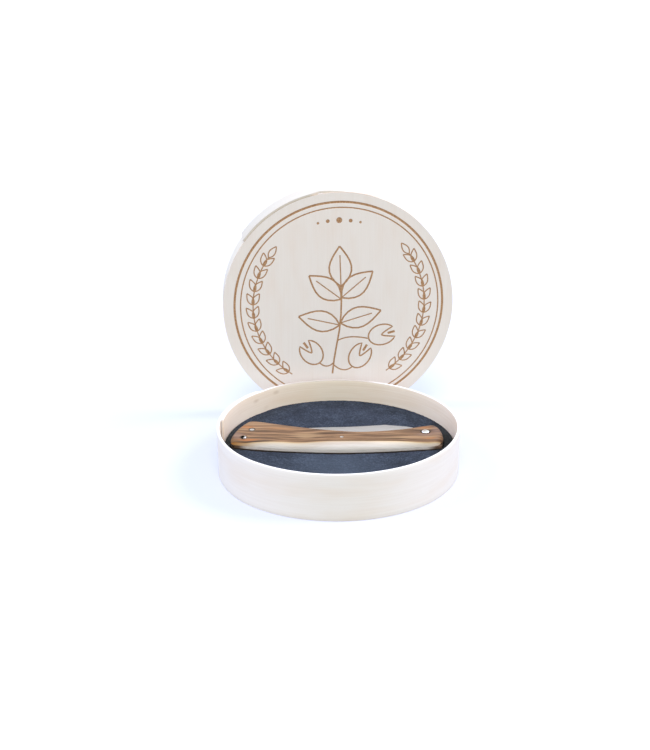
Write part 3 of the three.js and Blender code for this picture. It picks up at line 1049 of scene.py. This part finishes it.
def handleScale(pieceName, nodeName, slotSide, outward):
    scale = copyOfNode(nodeName, pieceName, dissolve=0)
    holes = knife["holeRadius"]
    bpy.ops.object.mode_set(mode="EDIT")
    bpy.ops.mesh.select_mode(type="EDGE")
    bpy.ops.mesh.select_all(action="DESELECT")
    bpy.ops.mesh.edges_select_sharp(sharpness=math.radians(60))
    bpy.ops.object.mode_set(mode="OBJECT")
    # Of its sharp edges, only the outline on the slot's side is kept, without the holes
    for edge in scale.data.edges:
        start, end = (scale.data.vertices[i].co for i in edge.vertices)
        x, y, z = (start + end) / 2 / mm
        atHole = min(math.dist((x, y), knife[spot]) for spot in holes) < knife["solidsHoles"]
        if abs(z - slotSide) > 0.01 or atHole:
            edge.select = False
    bpy.ops.object.mode_set(mode="EDIT")
    bpy.ops.mesh.select_all(action="INVERT")
    bpy.ops.mesh.delete(type="EDGE")
    bpy.ops.mesh.select_all(action="SELECT")
    bpy.ops.mesh.edge_face_add()
    stretch = knife["roundingHeight"] / knife["roundingWidth"]
    bpy.ops.mesh.extrude_region_move(
        TRANSFORM_OT_translate={"value": (0, 0, outward * knife["scaleThickness"] / stretch * mm)})
    bpy.ops.mesh.bevel(offset=knife["roundingWidth"] * mm, segments=knife["roundingSteps"],
                       profile=0.5, clamp_overlap=False)
    bpy.ops.mesh.select_all(action="SELECT")
    bpy.ops.transform.resize(value=(1, 1, stretch), center_override=(0, 0, slotSide * mm))
    bpy.ops.mesh.normals_make_consistent(inside=False)
    bpy.ops.object.mode_set(mode="OBJECT")
    for spot, radius in holes.items():
        drill(scale, *knife[spot], radius)
    smooth(scale, 40)
    return scale


upperScale = handleScale("upper_handle_scale", "upper_scale", knife["upperScaleBottom"], 1)
finishPiece(upperScale, "box", "upper_scale", handleMaterial(
    "pistachio wood, oiled and polished, with its sapwood", handleLook["sapEdge"],
    ["#4E3625", "#7A5A40", "#8D6C4D", "#A48162"]))
# The lower scale is all heartwood, painted much darker than the upper one as the shade in the foam's
# gap
lowerScale = handleScale("lower_handle_scale", "lower_scale", knife["lowerScaleTop"], -1)
finishPiece(lowerScale, "box", "lower_scale", handleMaterial(
    "pistachio heartwood, oiled, painted with the gap's shade", handleLook["allHeart"],
    ["#241A14", "#30251D", "#382C22", "#42352A"]))
print("handle scales:", len(upperScale.data.polygons), "faces each")


# Back spring and blade: carbon and stainless steel, brushed along the knife and satin. The
# spring's coarse grinding also scatters light, so it is less of a mirror.

springLook = {
    "light": "#FAF3EC",
    "dark": "#E8DFD6",
    "scratchSize": (14, 0.35, 0.35),  # mm
    "shader": {"Metallic": 0.45, "Roughness": 0.55},
    "endShadeColour": "#7A6658",  # its ends are painted dark and brown: shade at the knife's ends and the wood reflected in the steel
    "endShadeReach": (41.5, 46.8),
}

bladeLook = {
    "light": "#E8EAEE",
    "dark": "#D2D5DB",
    "scratchSize": (5, 0.3, 0.3),
    "shader": {"Metallic": 1.0, "Roughness": 0.42},
}


def brushedSteel(name, look):
    material, tree, shader = newMaterial(name, look["shader"])
    place = placeInMillimetres(tree)
    scratches = stretchedNoise(tree, place, look["scratchSize"], Detail=3, Roughness=0.6)
    colour = addNode(tree, "ValToRGB", links={"Fac": scratches.outputs["Fac"]},
                     stops=[(0.3, look["dark"]), (0.7, look["light"])]).outputs["Color"]
    # Painted shade and a painted reflection of the wood at the spring's ends
    if "endShadeColour" in look:
        along = addNode(tree, "SeparateXYZ", links={"Vector": place})
        ends = bandMask(tree, along.outputs["X"], look["endShadeReach"])
        colour = addNode(tree, "MixRGB", blend_type="MULTIPLY", links={
            "Fac": ends, "Color1": colour},
            values={"Color2": linear(look["endShadeColour"])}).outputs["Color"]
    dress(tree, shader, colour, scratches.outputs["Fac"], strength=0.35, depth=0.01)
    return material


spring = copyOfNode("back_spring", "spring_back")
easeEdges(spring, 0.45, segments=4, degrees=40)
smooth(spring, 40)
finishPiece(spring, "box", "back_spring",
            brushedSteel("spring steel, ground along the handle", springLook))

blade = copyOfNode("blade", "knife_blade", dissolve=0.05)
easeEdges(blade, 0.06, degrees=40)
smooth(blade, 30)
finishPiece(blade, "blade", "blade",
            brushedSteel("stainless blade steel, satin", bladeLook))
print("spring and blade ground")


# Pins: polished steel turned on a lathe. Each is a ring that is drawn up and narrowed in steps.

pins = {
    "bottom": 7.55,
    "top": 16.0,
    "flushDome": 0.18,
    "seat": 0.05,
    "dome": 0.55,
    "domeSteps": 8,
    "sides": 48,
    "shank": 1.5,
    "head": 1.85,
    "buttPin": 1.15,
    "middlePin": 0.9,
    "tube": 1.35,
    "tubeEase": 0.08,
    "tubeBore": 0.9,
    "boreShift": -0.28,
    "shadeDepths": (0.22, 0.12),  # painted shade below the handle's face, from shaded to lit
    "shadeAlongKnife": (-0.3, 0.5),  # painted shade along the knife from the lanyard's hole, from shaded to lit
}


def turnedPiece(pieceName, centre, profile, bore):
    x, y = centre
    radius, height = profile[0]
    bpy.ops.object.select_all(action="DESELECT")
    bpy.ops.mesh.primitive_circle_add(vertices=pins["sides"], radius=radius * mm, fill_type="NGON",
                                      location=(x * mm, y * mm, height * mm))
    piece = bpy.context.object
    piece.name = pieceName
    bpy.ops.object.transform_apply(location=True)
    bpy.ops.object.mode_set(mode="EDIT")
    for nextRadius, nextHeight in profile[1:]:
        bpy.ops.mesh.extrude_region_move(
            TRANSFORM_OT_translate={"value": (0, 0, (nextHeight - height) * mm)})
        if nextRadius != radius:
            factor = nextRadius / radius
            bpy.ops.transform.resize(value=(factor, factor, 1), center_override=(x * mm, y * mm, 0))
        radius, height = nextRadius, nextHeight
    bpy.ops.mesh.select_all(action="SELECT")
    bpy.ops.mesh.normals_make_consistent(inside=False)
    bpy.ops.object.mode_set(mode="OBJECT")
    if bore:
        drill(piece, x + pins["boreShift"], y, bore)
    smooth(piece, 40)
    return piece


def domeProfile(radius, height, rise):
    turns = [math.pi / 2 * i / pins["domeSteps"] for i in range(pins["domeSteps"] + 1)]
    return [(max(radius * math.cos(turn), 0.02), height + rise * math.sin(turn)) for turn in turns]


def roundedPin(radius):
    dome = pins["flushDome"]
    lower = domeProfile(radius, pins["bottom"] + dome, -dome)
    return lower[::-1] + domeProfile(radius, pins["top"] - dome, dome)


def rivetProfile():
    upperSeat = pins["top"] + pins["seat"]
    lowerSeat = pins["bottom"] - pins["seat"]
    lower = domeProfile(pins["head"], lowerSeat, -pins["dome"])
    upper = domeProfile(pins["head"], upperSeat, pins["dome"])
    return lower[::-1] + [(pins["shank"], lowerSeat), (pins["shank"], upperSeat)] + upper


def tubeProfile():
    radius, ease = pins["tube"], pins["tubeEase"]
    return [(radius - ease, pins["bottom"]), (radius, pins["bottom"] + ease),
            (radius, pins["top"] - ease), (radius - ease, pins["top"])]


# Painted shade: the pins are dark below the handle's face, in their holes, and on the far side of the
# lanyard's hole
def polishedSteel():
    material, tree, shader = newMaterial("stainless steel, polished", {"Metallic": 1.0})
    place = placeInMillimetres(tree)
    apart = addNode(tree, "SeparateXYZ", links={"Vector": place})
    wear = addNode(tree, "TexNoise", links={"Vector": place}, values={"Scale": 0.9, "Detail": 3})
    gloss = addNode(tree, "MapRange", links={"Value": wear.outputs["Fac"]}, values={
        "To Min": 0.22, "To Max": 0.42})
    tree.links.new(gloss.outputs["Result"], shader.inputs["Roughness"])
    litAtFace = addNode(tree, "MapRange", links={"Value": apart.outputs["Z"]}, values={
        "From Min": pins["top"] - pins["shadeDepths"][0],
        "From Max": pins["top"] - pins["shadeDepths"][1]})
    holeAt = knife["lanyardHole"][0]
    shadeAlongKnife = addNode(tree, "MapRange", links={"Value": apart.outputs["X"]}, values={
        "From Min": holeAt + pins["shadeAlongKnife"][0], "From Max": holeAt + pins["shadeAlongKnife"][1]})
    bright = addNode(tree, "Math", operation="MULTIPLY", links={
        0: litAtFace.outputs["Result"], 1: shadeAlongKnife.outputs["Result"]})
    tone = addNode(tree, "MixRGB", links={"Fac": bright.outputs[0]}, values={
        "Color1": linear("#221E1B"), "Color2": linear("#F6F5F7")})
    tree.links.new(tone.outputs["Color"], shader.inputs["Base Color"])
    return material


polished = polishedSteel()
for pieceName, nodeName, spot, profile, bore in [
    ("pivot_pin", "pivot_rivet", "pivot", rivetProfile(), 0),
    ("butt_end_pin", "butt_pin", "buttPin", roundedPin(pins["buttPin"]), 0),
    ("handle_middle_pin", "middle_pin", "middlePin", roundedPin(pins["middlePin"]), 0),
    ("lanyard_sleeve", "lanyard_tube", "lanyardHole", tubeProfile(), pins["tubeBore"]),
]:
    pin = turnedPiece(pieceName, knife[spot], profile, bore)
    finishPiece(pin, "box", nodeName, polished)
print("pins turned")
